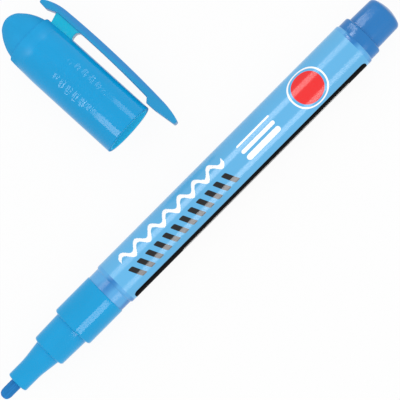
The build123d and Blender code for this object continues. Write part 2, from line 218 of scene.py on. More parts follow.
class MarkerCap(bpy.types.PropertyGroup):
    """Sizes of the cap, from its mouth inwards."""

    mouth_radius: length("Mouth radius", "Outer radius at the mouth", 7.2)
    bow_place: length("Bow place", "Distance from the mouth at which the side bows in", 27.6)
    shoulder_radius: length("Shoulder radius", "Outer radius in front of the dome", 6.8)
    shoulder_place: length("Shoulder place", "Distance of the dome's shoulder from the mouth", 33.4)
    dome_radius: length("Dome radius", "Radius of the dome's foot", 6.3)
    dome_bend_place: length("Dome bend place", "Distance from the mouth at which the dome bends in", 36.85)
    dome_bend_radius: length("Dome bend radius", "Radius at which the dome bends in", 5.43)
    dome_end_radius: length("Dome end radius", "Radius at which the dome's side would meet its end", 2.02)
    cap_length: length("Length", "Length of the cap", 41.15)
    socket_radius: length("Socket radius", "Radius of the socket that slides on the grip", 6.0)
    socket_depth: length("Socket depth", "Depth of the socket", 15.35)
    sleeve_radius: length("Sleeve radius", "Radius of the bore that holds the liner", 5.61)
    sleeve_depth: length("Sleeve depth", "Depth of the liner's bore", 32.3)
    cavity_radius: length("Cavity radius", "Widest radius of the room for the nose", 4.96)
    cavity_end_radius: length("Cavity end radius", "Narrowest radius of the room for the nib", 2.0)
    cavity_depth: length("Cavity depth", "Depth of the room for the nib", 39.95)
    rim_rounding: length("Rim rounding", "Rounding of the mouth's rim", 0.25)
    shoulder_rounding: length("Shoulder rounding", "Rounding of the dome's shoulder", 0.2)
    bow_rounding: length("Bow rounding", "Rounding where the side bows in", 3.8)
    dome_rounding: length("Dome rounding", "Rounding where the dome bends in", 2.2)
    groove_count: IntProperty(name="Grooves", description="Grip grooves on each face", default=6, min=0)
    groove_first: length("First groove", "Distance of the first groove from the mouth", 9.75)
    groove_pitch: length("Groove pitch", "Distance from one groove to the next", 2.27)
    groove_width: length("Groove width", "Width of a groove", 0.9)
    groove_span: length("Groove span", "Length of the middle grooves across the cap", 8.0)
    groove_span_drop: length("Span drop", "How fast the grooves get shorter from the middle", 0.35)
    groove_depth: length("Groove depth", "Depth of a groove", 0.1)
    groove_flank: length("Groove flank", "Width of a groove's rounded flank", 0.5)
    stalk_rear: length("Stalk rear", "Distance of the stalk's rear face from the mouth, at the arm", 32.8)
    stalk_lean: length("Stalk lean", "Lean of the stalk's rear face towards the tail", 0.9)
    stalk_front: length("Stalk front", "Distance of the stalk's front face from the mouth", 25.6)
    stalk_width: length("Stalk width", "Width of the stalk", 3.5)
    stalk_blend: length("Stalk blend", "Fillet in front of the stalk, at the cap and at the arm", 1.15)
    stalk_rounding: length("Stalk rounding", "Rounding of the stalk's sides", 0.2)


class MarkerStage(bpy.types.PropertyGroup):
    """Camera, lights and table."""

    camera_distance: length("Camera distance", "Distance of the camera from what it looks at", 600)
    camera_x: length("Camera X", "Place along the pen that the camera looks at", -12.2)
    camera_y: length("Camera Y", "Place across the pen that the camera looks at", -0.2)
    camera_lean: angle("Camera lean", "Lean of the line of sight from straight down, away from the cap", 5.4)
    camera_turn: angle("Camera turn", "Turn of the camera about its line of sight", -45.15)
    view_width: length("View width", "Width of the view at the pen's axis", 97.8)
    table_size: length("Table size", "Side of the white table", 6000)
    table_lift: FloatProperty(
        name="Table lift",
        description="How much of the table's shade the camera loses",
        default=0.94,
        min=0,
        max=1,
    )
    sky: FloatProperty(
        name="Sky", description="Strength of the even light from all sides", default=0.9, min=0
    )
    strip_glow: FloatProperty(
        name="Strip glow", description="Brightness of the strip lights", default=6.0, min=0
    )


class Value:
    """Something that changes over a surface: a node's output, with arithmetic that adds Math nodes."""

    def __init__(self, nodes, socket):
        self.nodes = nodes
        self.socket = socket

    def math(self, operation, first, second=None, clamp=False):
        sockets = {0: first}
        if second is not None:
            sockets[1] = second
        return self.nodes.node("ShaderNodeMath", {"operation": operation, "use_clamp": clamp}, sockets)

    def __add__(self, other):
        return self.math("ADD", self, other)

    __radd__ = __add__

    def __sub__(self, other):
        return self.math("SUBTRACT", self, other)

    def __rsub__(self, other):
        return self.math("SUBTRACT", other, self)

    def __mul__(self, other):
        return self.math("MULTIPLY", self, other)

    __rmul__ = __mul__

    def __truediv__(self, other):
        return self.math("DIVIDE", self, other)

    def __abs__(self):
        return self.math("ABSOLUTE", self)

    def at_least(self, other):
        return self.math("MAXIMUM", self, other)

    def root(self):
        return self.math("SQRT", self)

    def sine(self):
        return self.math("SINE", self)

    def fraction(self):
        return self.math("FRACT", self)

    def whole(self):
        return self.math("FLOOR", self)

    def angle_from(self, other):
        return self.math("ARCTAN2", self, other)

    def held(self):
        return self.math("ADD", self, 0.0, clamp=True)


class NodeTree:
    """A node tree of a material or of the sky, to which nodes are added with their settings and sockets."""

    def __init__(self, tree):
        self.tree = tree

    def fill(self, node, sockets):
        """Set or link a node's sockets."""
        for key, value in sockets.items():
            if isinstance(value, Value):
                self.tree.links.new(value.socket, node.inputs[key])
            else:
                node.inputs[key].default_value = value

    def node(self, kind, settings, sockets, output=0):
        """Add a node: its settings come first, then its sockets."""
        node = self.tree.nodes.new(kind)
        for key, value in settings.items():
            setattr(node, key, value)
        self.fill(node, sockets)
        return Value(self, node.outputs[output])

    def seen_rays(self):
        """1 for rays from the camera, for mirror rays and for rays through clear pieces."""
        kinds = ("Is Camera Ray", "Is Glossy Ray", "Is Transmission Ray")
        camera_ray, glossy_ray, clear_ray = [self.node("ShaderNodeLightPath", {}, {}, kind) for kind in kinds]
        return camera_ray.at_least(glossy_ray).at_least(clear_ray)


class Finish(NodeTree):
    """A material with its Principled shader, whose plain sockets are set by name."""

    def __init__(self, name, sockets):
        self.material = bpy.data.materials.new(name)
        self.material.use_nodes = True
        super().__init__(self.material.node_tree)
        self.shader = self.tree.nodes["Principled BSDF"]
        self.fill(self.shader, sockets)

    def place(self, turn=None):
        """Object coordinates, turned and moved into the space of a placement matrix if one is given."""
        place = self.node("ShaderNodeTexCoord", {}, {}, "Object")
        if turn is not None:
            place = self.node(
                "ShaderNodeMapping",
                {"vector_type": "TEXTURE"},
                {"Vector": place, "Location": turn.to_translation(), "Rotation": turn.to_euler()},
            )
        return place

    def parts(self, place):
        """The three coordinates of a place."""
        node = self.tree.nodes.new("ShaderNodeSeparateXYZ")
        self.fill(node, {"Vector": place})
        return [Value(self, socket) for socket in node.outputs]

    def stretched(self, place, scale):
        """A place scaled along each axis."""
        return self.node("ShaderNodeVectorMath", {"operation": "MULTIPLY"}, {0: place, 1: scale})

    def noise(self, place, scale, detail=2.0, roughness=0.5):
        """Cloudy value from 0 to 1."""
        sockets = {"Vector": place, "Scale": scale, "Detail": detail, "Roughness": roughness}
        return self.node("ShaderNodeTexNoise", {}, sockets)

    def mix(self, share, first, second):
        """Colour between two colours."""
        sockets = {0: share}
        for key, value in ((6, first), (7, second)):
            sockets[key] = value if isinstance(value, Value) else (*value, 1.0)
        return self.node("ShaderNodeMix", {"data_type": "RGBA"}, sockets, 2)

    def relief(self, height):
        """Normal of a surface with a height in metres."""
        return self.node("ShaderNodeBump", {}, {"Strength": 1.0, "Distance": 1.0, "Height": height})

    def show(self, **sockets):
        """Link what changes over the surface to the shader, by socket name with spaces as underscores."""
        self.fill(self.shader, {key.replace("_", " "): value for key, value in sockets.items()})
        return self.material


def shade(base, share):
    """A colour made darker or lighter by a share."""
    return tuple(min(1.0, part * share) for part in base)


def spread(value, low, high):
    """0 to 1 as a value goes from low to high."""
    return ((value - low) / (high - low)).held()


def inside(distance, soft):
    """1 where a distance to an outline is negative, 0 where it is positive."""
    return (0.5 - distance / soft).held()


def bar_distance(along, across, half_length, half_width, rounding):
    """Distance to the outline of a bar with rounded corners."""
    past_end = (abs(along) - (half_length - rounding)).at_least(0.0)
    past_side = (abs(across) - (half_width - rounding)).at_least(0.0)
    return (past_end * past_end + past_side * past_side).root() - rounding


def moulded_finish(name, base, roughness, turn=None, seam=True, room=None, painted_side_shade=None):
    """Moulded plastic with flow marks, a satin skin and a faint parting line on both sides.

    A side shade colours one side darker with painted shade. A room colours a cap's inside brighter with painted
    light, which stands in for light coming through its wall, and makes its inside, its rim and its dome duller.
    """
    flow = (0.25, 1.0, 1.0)
    mark_height = 0.003 * MM
    skin_height = 0.0006 * MM
    mark_rough = 0.06
    skin_rough = 0.08
    finish = Finish(name, {"Specular IOR Level": 0.25})
    place = finish.place(turn)
    marks = finish.noise(finish.stretched(place, flow), 260.0, 3.0)
    cloud = finish.noise(place, 90.0)
    skin = finish.noise(place, 5200.0, 1.0)
    tint = spread(marks * 0.6 + cloud * 0.4, 0.3, 0.7)
    height = marks * mark_height + skin * skin_height
    if seam:
        seam_width = 0.07 * MM
        seam_height = 0.02 * MM
        side = finish.parts(place)[2]
        line = (1.0 - abs(side) / seam_width).held()
        height = height + line * seam_height
    skin_colour = finish.mix(tint, shade(base, 0.93), shade(base, 1.05))
    # Painted shade: one side is coloured darker.
    if painted_side_shade:
        side_shade_share = spread(finish.parts(place)[1], *painted_side_shade["side"])
        skin_colour = finish.mix(side_shade_share, skin_colour, painted_side_shade["colour"])
    rough = skin * skin_rough + marks * mark_rough + (roughness - (skin_rough + mark_rough) / 2)
    if room:
        floor_blend = 1.0 * MM
        wall_blend = 0.1 * MM
        dull_start = 4.5 * MM
        dull_full = 1.5 * MM
        dulling = 0.6
        along, side, up = finish.parts(place)
        within = spread(along, -room["depth"], floor_blend - room["depth"])
        within = within * inside((side * side + up * up).root() - room["radius"], wall_blend)
        # Painted light: the cap's inside is coloured brighter.
        skin_colour = finish.mix(within, skin_colour, room["colour"])
        rim = spread(along, -room["rim"], 0.0)
        dome = spread(along, dull_start - room["dome"], dull_full - room["dome"])
        rough = rough + within.at_least(rim).at_least(dome) * dulling
    return finish.show(Base_Color=skin_colour, Roughness=rough, Normal=finish.relief(height))


def tinted_barrel_finish(colours):
    """Clear tinted plastic, deeper in random streaks where ink stands behind the wall, and in lobes around the pen
    that are painted shade.
    """
    shade_lobe_count = 4
    shade_lobe_turn = 1.3
    streak_height = 0.012 * MM
    skin_height = 0.001 * MM
    finish = Finish("tinted_barrel", {"Specular IOR Level": 0.4})
    place = finish.place()
    streaks = finish.noise(finish.stretched(place, (0.5, 1.0, 1.0)), 210.0, 2.0)
    skin = finish.noise(place, 3000.0, 1.0)
    side, up = finish.parts(place)[1:]
    # Painted shade: four lobes around the pen, one on its top, are coloured deeper.
    painted_shade_lobes = (side.angle_from(up) * shade_lobe_count + shade_lobe_turn).sine()
    ink = spread(painted_shade_lobes * 0.35 + streaks, 0.45, 0.85)
    return finish.show(
        Base_Color=finish.mix(ink, colours.barrel, colours.barrel_deep),
        Roughness=0.14 + skin * 0.08,
        Normal=finish.relief(streaks * streak_height + skin * skin_height),
    )


def printed_film_finish(colours, design, film_radius):
    """Glossy label film with a plain print: chalk line, strokes, line samples, disc and ruled back panel."""
    soft = 0.06 * MM
    wave_fray = 0.5 * MM
    wave_slope = 0.66
    wave_height = 0.003 * MM
    stroke_corner = 0.3 * MM
    stroke_fray = 0.3 * MM
    stroke_split = 0.2 * MM
    sample_count = 3
    sample_fray = 0.22 * MM
    rule_phase = 2.4
    rule_swing = 5.0 * MM
    rule_share = 0.36
    rule_inset = 1.3 * MM
    film_height = 0.02 * MM
    finish = Finish("printed_film", {"Specular IOR Level": 0.4})
    place = finish.place()
    along, side, up = finish.parts(place)
    around = side.angle_from(up) * film_radius
    chalk = finish.noise(place, 3600.0, 3.0, 0.65)
    cloud = finish.noise(place, 70.0)

    row_middle = (design.row_start + design.row_end) / 2
    row_reach = (design.row_end - design.row_start) / 2
    row_edge = abs(along - row_middle) - row_reach

    swing = ((along - design.row_start) * (2 * pi / design.wave_length)).sine() * design.wave_height
    wave_side = abs(around - design.wave_place - swing) * wave_slope - design.wave_width / 2
    wave_edge = wave_side.at_least(row_edge) + (chalk - 0.5) * wave_fray
    wave = inside(wave_edge, soft) * spread(chalk, 0.24, 0.4)

    stroke_side = around - design.stroke_place
    stroke_along = (along - design.row_start + stroke_side * tan(design.stroke_lean)) / design.stroke_pitch
    stroke_local = (stroke_along.fraction() - 0.5) * design.stroke_pitch
    stroke_edge = bar_distance(
        stroke_local, stroke_side, design.stroke_width / 2, design.stroke_height / 2, stroke_corner
    )
    stroke_count = round(2 * row_reach / design.stroke_pitch)
    past_row = abs(stroke_along.whole() - (stroke_count - 1) / 2) - stroke_count / 2
    strokes = inside(stroke_edge.at_least(past_row * design.stroke_pitch), soft)
    # The dark strokes turn grey on their half towards -Y.
    stroke_grey = inside(stroke_side + (chalk - 0.5) * stroke_fray + stroke_split, soft)

    sample_middle = design.sample_start + design.sample_length / 2
    samples = 0.0
    for number in range(sample_count):
        width = design.sample_width * (sample_count - number) / sample_count
        sample_place = (number - (sample_count - 1) / 2) * design.sample_pitch
        edge = bar_distance(
            along - sample_middle, around - sample_place, design.sample_length / 2, width / 2, width / 2
        )
        samples = samples + inside(edge + (chalk - 0.5) * sample_fray, soft)

    from_disc = along - design.disc_place
    disc_reach = (from_disc * from_disc + around * around).root()
    disc = inside(disc_reach - design.disc_radius, soft)
    ring = inside(abs(disc_reach - design.ring_radius) - design.ring_width / 2, soft)

    panel_side = around - design.panel_place
    panel_edge = bar_distance(
        along, panel_side, design.panel_length / 2, design.panel_width / 2, design.panel_corner
    )
    panel = inside(panel_edge, soft)
    rule_number = panel_side / design.rule_pitch
    rule_side = abs(rule_number.fraction() - 0.5) * design.rule_pitch - design.rule_width / 2
    rule_shift = (rule_number.whole() * rule_phase).sine() * rule_swing
    rule_end = abs(along + rule_shift) - design.panel_length * rule_share
    rule_margin = abs(panel_side) - (design.panel_width / 2 - rule_inset)
    rules = inside(rule_side.at_least(rule_end).at_least(rule_margin), soft)

    film = colours.film
    white = colours.print_white
    dark = colours.print_dark
    ground = finish.mix(spread(cloud, 0.3, 0.7), shade(film, 0.96), shade(film, 1.03))
    inked = finish.mix(strokes, ground, finish.mix(stroke_grey, dark, colours.stroke_half_grey))
    inked = finish.mix((wave + samples + ring).held(), inked, white)
    inked = finish.mix(disc, inked, colours.print_red)
    inked = finish.mix(panel, inked, finish.mix(rules, dark, white))
    finish.show(
        Base_Color=inked,
        Roughness=0.14 + wave * 0.2 + cloud * 0.05,
        Normal=finish.relief(cloud * film_height + wave * wave_height),
    )
    dull = {"Base Color": inked, "Roughness": 0.6, "Specular IOR Level": 0.02}
    ink = finish.node("ShaderNodeBsdfPrincipled", {}, dull)
    film_skin = Value(finish, finish.shader.outputs[0])
    finish.fill(
        finish.tree.nodes["Material Output"],
        {"Surface": finish.node("ShaderNodeMixShader", {}, {0: panel, 1: film_skin, 2: ink})},
    )
    return finish.material


def fibre_finish(name, base, streak_scale, front, roughness):
    """Pressed fibre that holds ink: fine strands along the pen, paler where the tip is worn."""
    worn_length = 1.4 * MM
    strand_height = 0.05 * MM
    pore_height = 0.02 * MM
    finish = Finish(name, {"Specular IOR Level": 0.2})
    place = finish.place()
    strands = finish.noise(finish.stretched(place, (0.06, 1.0, 1.0)), streak_scale, 2.0, 0.6)
    pores = finish.noise(place, 2600.0, 2.0)
    along = finish.parts(place)[0]
    worn = spread(front + worn_length - along, 0.0, worn_length) * 0.35
    tint = finish.mix(spread(strands, 0.3, 0.7), shade(base, 0.8), shade(base, 1.16))
    return finish.show(
        Base_Color=finish.mix(worn * spread(pores, 0.3, 0.7), tint, shade(base, 1.45)),
        Roughness=roughness + pores * 0.15,
        Normal=finish.relief(strands * strand_height + pores * pore_height),
    )


def steel_finish(name, scale):
    """Bright steel with fine drawing marks."""
    dark_steel = (0.5, 0.5, 0.51)
    bright_steel = (0.68, 0.68, 0.69)
    mark_height = 0.002 * MM
    finish = Finish(name, {"Metallic": 1.0})
    place = finish.place()
    marks = finish.noise(finish.stretched(place, scale), 900.0, 2.0)
    return finish.show(
        Base_Color=finish.mix(marks, dark_steel, bright_steel),
        Roughness=0.14 + marks * 0.14,
        Normal=finish.relief(marks * mark_height),
    )


def dress(node, material):
    """Give a CAD node its material."""
    cad_nodes[node].material_slots[0].material = material


def cap_placement():
    """Matrix of the cap's own space: X out of its mouth, Y towards its clip."""
    socket = mounts["cap_socket"]
    outward = Vector(socket["axis"])
    mouth = Vector(socket["pos_m"]) + outward * (socket["dims"]["length_mm"] * MM / 2)
    upward = Vector((0, 0, 1))
    turn = Matrix((outward, upward.cross(outward), upward)).transposed()
    return Matrix.Translation(mouth) @ turn.to_4x4()


def chain(points, closed):
    """Bmesh with a chain of edges through flat points, and its vertices."""
    work = bmesh.new()
    corners = [work.verts.new((*point, 0)) for point in points]
    for first, second in zip(corners, corners[1:]):
        work.edges.new((first, second))
    if closed:
        work.edges.new((corners[-1], corners[0]))
    return work, corners


def round_corner(work, corner, radius, segments):
    """Round one corner of a chain of edges."""
    bmesh.ops.bevel(
        work, geom=[corner], offset=radius, offset_type="OFFSET", segments=segments, profile=0.5,
        affect="VERTICES", material=-1,
    )


def turned(work, steps):
    """Spin a chain of edges about X into a closed skin."""
    same_point = 0.0005 * MM
    bmesh.ops.spin(
        work, geom=work.verts[:] + work.edges[:], cent=(0, 0, 0), axis=(1, 0, 0), dvec=(0, 0, 0),
        angle=2 * pi, steps=steps, use_merge=True, use_duplicate=False,
    )
    bmesh.ops.remove_doubles(work, verts=work.verts[:], dist=same_point)
    bmesh.ops.recalc_face_normals(work, faces=work.faces[:])


def finished_piece(work, name, placement, material, crease):
    """Object made of a bmesh that is moved to its place, smooth but for edges over the crease angle."""
    bmesh.ops.transform(work, matrix=placement, verts=work.verts[:])
    for face in work.faces:
        face.smooth = True
    for edge in work.edges:
        edge.smooth = edge.calc_face_angle(0.0) < crease
    mesh = bpy.data.meshes.new(name)
    work.to_mesh(mesh)
    work.free()
    mesh.materials.append(material)
    piece = bpy.data.objects.new(name, mesh)
    bpy.context.scene.collection.objects.link(piece)
    return piece


def turned_piece(name, node, material, rows, closed=True):
    """Piece of the pen turned from rows of place, radius and rounding, which stands for a CAD node."""
    sides = 160
    corner_steps = 8
    work, corners = chain([row[:2] for row in rows], closed)
    for corner, row in zip(corners, rows):
        if row[2:]:
            round_corner(work, corner, row[2], corner_steps)
    turned(work, sides)
    piece = finished_piece(work, name, Matrix.Identity(4), material, radians(30))
    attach(piece, "pen")
    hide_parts(node)


def model_spring(pen, material):
    """The valve spring: a ring of wire spun along the pen."""
    turn_steps = 24
    wire_sides = 10
    low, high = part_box("valve_spring")
    front = low.x + pen.spring_wire
    rear = high.x - pen.spring_wire
    steps = turn_steps * pen.spring_turns
    rise = (rear - front) / steps
    work = bmesh.new()
    bmesh.ops.create_circle(work, segments=wire_sides, radius=pen.spring_wire)
    bmesh.ops.translate(work, vec=(front, high.y - pen.spring_wire, 0), verts=work.verts[:])
    bmesh.ops.spin(
        work, geom=work.verts[:] + work.edges[:], cent=(0, 0, 0), axis=(1, 0, 0), dvec=(rise, 0, 0),
        angle=2 * pi * pen.spring_turns, steps=steps, use_duplicate=False,
    )
    bmesh.ops.holes_fill(work, edges=work.edges[:], sides=0)
    bmesh.ops.recalc_face_normals(work, faces=work.faces[:])
    spring = finished_piece(work, "spring_coil", Matrix.Identity(4), material, radians(60))
    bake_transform(spring)
    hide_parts("valve_spring")


def groove_dip(cap, point):
    """How far a point of the cap's side is sunk by the nearest groove."""
    number = round((-point.x - cap.groove_first) / cap.groove_pitch)
    number = max(0, min(cap.groove_count - 1, number))
    span = cap.groove_span - cap.groove_span_drop * (number - (cap.groove_count - 1) / 2) ** 2
    off_along = point.x + cap.groove_first + number * cap.groove_pitch
    off_across = max(0.0, abs(point.y) - (span - cap.groove_width) / 2)
    past = (off_along**2 + off_across**2) ** 0.5 - cap.groove_width / 2
    share = max(0.0, min(1.0, 0.5 - past / cap.groove_flank))
    return cap.groove_depth * share * share * (3 - 2 * share)


def model_cap(cap, placement, material):
    """The cap's shell: its profile spun about its axis, with grooves sunk into its side."""
    zone_front = cap.groove_first - cap.groove_pitch
    zone_rear = cap.groove_first + cap.groove_pitch * cap.groove_count
    zone_rings = 150
    sides = 300
    tip_rounding = cap.dome_end_radius * 0.998
    inner_rim_rounding = cap.rim_rounding * 0.6
    inner_reach = cap.sleeve_radius + 1.0 * MM
    work, corners = chain(
        [
            (-cap.cap_length, 0),
            (-cap.cap_length, cap.dome_end_radius),
            (-cap.dome_bend_place, cap.dome_bend_radius),
            (-cap.shoulder_place, cap.dome_radius),
            (-cap.shoulder_place, cap.shoulder_radius),
            (-cap.bow_place, cap.mouth_radius),
            (-zone_rear, cap.mouth_radius),
            (-zone_front, cap.mouth_radius),
            (0, cap.mouth_radius),
            (0, cap.socket_radius),
            (-cap.socket_depth, cap.socket_radius),
            (-cap.socket_depth, cap.sleeve_radius),
            (-cap.sleeve_depth, cap.sleeve_radius),
            (-cap.sleeve_depth, cap.cavity_radius),
            (-cap.cavity_depth, cap.cavity_end_radius),
            (-cap.cavity_depth, 0),
        ],
        closed=False,
    )
    round_corner(work, corners[1], tip_rounding, 20)
    round_corner(work, corners[2], cap.dome_rounding, 16)
    round_corner(work, corners[4], cap.shoulder_rounding, 8)
    round_corner(work, corners[5], cap.bow_rounding, 12)
    round_corner(work, corners[8], cap.rim_rounding, 6)
    round_corner(work, corners[9], inner_rim_rounding, 4)
    zone = work.edges.get((corners[6], corners[7]))
    bmesh.ops.subdivide_edges(work, edges=[zone], cuts=zone_rings)
    turned(work, sides)
    for vertex in work.verts:
        point = vertex.co
        reach = (point.y**2 + point.z**2) ** 0.5
        if reach > inner_reach and -zone_rear < point.x < -zone_front:
            kept = 1 - groove_dip(cap, point) / reach
            vertex.co = (point.x, point.y * kept, point.z * kept)
    return finished_piece(work, "cap_body", placement, material, radians(35))


def model_stalk(cap, placement, material, arm_height):
    """The stalk between cap and clip: a plate with filleted front corners and rounded sides."""
    sunk = 0.5 * MM
    lap = 0.25 * MM
    foot = 0.05 * MM
    level = 0.01 * MM
    side = cap.shoulder_radius
    flare = cap.stalk_blend + foot
    work, corners = chain(
        [
            (-cap.stalk_rear + cap.stalk_lean, side - sunk),
            (-cap.stalk_front + flare, side - sunk),
            (-cap.stalk_front + flare, side),
            (-cap.stalk_front, side),
            (-cap.stalk_front, arm_height),
            (-cap.stalk_front + flare, arm_height),
            (-cap.stalk_front + flare, arm_height + lap),
            (-cap.stalk_rear, arm_height + lap),
        ],
        closed=True,
    )
    round_corner(work, corners[3], cap.stalk_blend, 8)
    round_corner(work, corners[4], cap.stalk_blend, 8)
    bmesh.ops.contextual_create(work, geom=work.edges[:])
    bmesh.ops.translate(work, vec=(0, 0, -cap.stalk_width / 2), verts=work.verts[:])
    raised = bmesh.ops.extrude_face_region(work, geom=work.faces[:])
    tops = [item for item in raised["geom"] if isinstance(item, bmesh.types.BMVert)]
    bmesh.ops.translate(work, vec=(0, 0, cap.stalk_width), verts=tops)
    bmesh.ops.recalc_face_normals(work, faces=work.faces[:])
    brims = [edge for edge in work.edges if abs(edge.verts[0].co.z - edge.verts[1].co.z) < level]
    bmesh.ops.bevel(
        work, geom=brims, offset=cap.stalk_rounding, offset_type="OFFSET", segments=4, profile=0.5,
        affect="EDGES", material=-1,
    )
    return finished_piece(work, "clip_stalk", placement, material, radians(35))


class MARKER_OT_barrel(bpy.types.Operator):
    """Turn the barrel and the plug that closes its tail"""

    bl_idname = "marker.barrel"
    bl_label = "Barrel and tail plug"

    def execute(self, context):
        colours = context.scene.marker_colours
        pen = context.scene.marker_pen
        shoulder = pen.barrel_reach - pen.shoulder_width
        turned_piece(
            "barrel_tube", "barrel", tinted_barrel_finish(colours),
            [
                (pen.neck_front, pen.bore_radius),
                (pen.neck_front, pen.neck_radius),
                (-pen.barrel_reach, pen.neck_radius),
                (-shoulder, pen.barrel_radius, pen.barrel_rounding),
                (-pen.label_reach, pen.barrel_radius),
                (-pen.label_reach, pen.label_bed),
                (pen.label_reach, pen.label_bed),
                (pen.label_reach, pen.barrel_radius),
                (shoulder, pen.barrel_radius, pen.barrel_rounding),
                (pen.barrel_reach, pen.collar_radius),
                (pen.barrel_reach, pen.bore_radius),
            ],
        )
        crown = pen.knob_rear - pen.knob_crown
        crown_middle = pen.knob_rear - pen.knob_crown * 0.12
        wall = pen.spigot_radius - pen.plug_room_radius
        turned_piece(
            "tail_plug", "rear_plug",
            moulded_finish("plug_moulding", colours.plug, roughness=0.16),
            [
                (pen.knob_rear, 0),
                (crown_middle, pen.knob_end_radius / 2, pen.crown_rounding),
                (crown, pen.knob_end_radius, pen.knob_rounding),
                (pen.collar_rear, pen.knob_root_radius),
                (pen.collar_rear, pen.collar_radius, pen.edge_rounding),
                (pen.barrel_reach, pen.collar_radius),
                (pen.barrel_reach, pen.spigot_radius),
                (pen.plug_front, pen.spigot_radius),
                (pen.plug_front, pen.plug_room_radius),
                (crown - wall, pen.plug_room_radius),
                (pen.knob_rear - wall, 0),
            ],
            closed=False,
        )
        return {"FINISHED"}


class MARKER_OT_label(bpy.types.Operator):
    """Wrap the printed label film round the barrel"""

    bl_idname = "marker.label"
    bl_label = "Label film"

    def execute(self, context):
        scene = context.scene
        pen = scene.marker_pen
        glue = 0.01 * MM
        film_inner = pen.label_bed + glue
        turned_piece(
            "label_film", "label_wrap",
            printed_film_finish(scene.marker_colours, scene.marker_print, pen.barrel_radius),
            [
                (-pen.label_reach, film_inner),
                (-pen.label_reach, pen.barrel_radius),
                (pen.label_reach, pen.barrel_radius),
                (pen.label_reach, film_inner),
            ],
        )
        return {"FINISHED"}


class MARKER_OT_front(bpy.types.Operator):
    """Turn the grip section and finish the nib"""

    bl_idname = "marker.front"
    bl_label = "Grip and nib"

    def execute(self, context):
        colours = context.scene.marker_colours
        pen = context.scene.marker_pen
        turned_piece(
            "grip_body", "grip_section",
            moulded_finish("grip_moulding", colours.grip, roughness=0.1),
            [
                (pen.nose_front, pen.nib_bore_radius),
                (pen.nose_front, pen.nose_radius, pen.nose_rounding),
                (pen.flare_front, pen.nose_radius, pen.flare_rounding),
                (pen.seal_front, pen.flare_radius),
                (pen.seal_front, pen.seal_front_radius, pen.edge_rounding),
                (pen.grip_front, pen.seal_root_radius),
                (pen.grip_front, pen.grip_radius, pen.edge_rounding),
                (pen.neck_front, pen.grip_radius, pen.grip_rounding),
                (pen.neck_front, pen.spigot_radius),
                (pen.spigot_rear, pen.spigot_radius),
                (pen.spigot_rear, pen.valve_radius),
                (pen.valve_front, pen.valve_radius),
                (pen.valve_front, pen.felt_radius),
                (pen.felt_front, pen.felt_radius),
                (pen.felt_front, pen.nib_bore_radius),
            ],
        )
        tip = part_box("nib")[0].x
        fibre = fibre_finish("nib_fibre", colours.nib, streak_scale=3200.0, front=tip, roughness=0.55)
        dress("nib", fibre)
        return {"FINISHED"}


class MARKER_OT_inside(bpy.types.Operator):
    """Wind the valve spring, and finish the felt, the valve and the mixing ball inside the pen"""

    bl_idname = "marker.inside"
    bl_label = "Inside"

    def execute(self, context):
        colours = context.scene.marker_colours
        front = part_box("ink_buffer")[0].x
        felt_colour = shade(colours.nib, 1.3)
        felt = fibre_finish("felt", felt_colour, streak_scale=1800.0, front=front, roughness=0.8)
        dress("ink_buffer", felt)
        dress("valve_seat", moulded_finish("seal_rubber", colours.rubber, roughness=0.6, seam=False))
        natural = moulded_finish("natural_plastic", colours.valve, roughness=0.4)
        dress("valve_stem", natural)
        dress("spring_cage", natural)
        model_spring(context.scene.marker_pen, steel_finish("spring_steel", (1.0, 1.0, 1.0)))
        dress("mixing_ball", steel_finish("ball_steel", (0.4, 0.4, 1.0)))
        return {"FINISHED"}


class MARKER_OT_cap(bpy.types.Operator):
    """Model the cap with its grip grooves and finish its liner"""

    bl_idname = "marker.cap"
    bl_label = "Cap"

    def execute(self, context):
        colours = context.scene.marker_colours
        placement = cap_placement()
        cap = context.scene.marker_cap
        # The room's colour is painted light inside the cap.
        room = {
            "depth": cap.sleeve_depth,
            "radius": (cap.socket_radius + cap.shoulder_radius) / 2,
            "rim": cap.rim_rounding,
            "dome": cap.shoulder_place,
            "colour": colours.cap_room_painted_light,
        }
        moulding = moulded_finish("cap_moulding", colours.cap, roughness=0.09, turn=placement, room=room)
        body = model_cap(cap, placement, moulding)
        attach(body, "cap")
        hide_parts("cap_shell")
        liner = moulded_finish("liner_moulding", colours.liner, roughness=0.45, turn=placement, seam=False)
        dress("cap_inner_seal", liner)
        return {"FINISHED"}


class MARKER_OT_clip(bpy.types.Operator):
    """Model the stalk between cap and clip, and finish the clip's arm"""

    bl_idname = "marker.clip"
    bl_label = "Clip"

    def execute(self, context):
        colours = context.scene.marker_colours
        cap = context.scene.marker_cap
        placement = cap_placement()
        pivot = placement.inverted() @ Vector(joints["clip_flex"]["pos_m"])
        moulding = moulded_finish("stalk_moulding", colours.stalk, roughness=0.2, turn=placement, seam=False)
        stalk = model_stalk(cap, placement, moulding, pivot.y)
        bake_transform(stalk)
        # The outer half of the arm takes painted shade.
        side_shade_start = pivot.y + 0.5 * MM
        side_shade_end = pivot.y + 1.2 * MM
        painted_side_shade = {"side": (side_shade_start, side_shade_end), "colour": colours.clip_painted_shade}
        arm = moulded_finish(
            "clip_moulding", colours.clip, roughness=0.3, turn=placement, seam=False, painted_side_shade=painted_side_shade
        )
        dress("pocket_clip", arm)
        return {"FINISHED"}


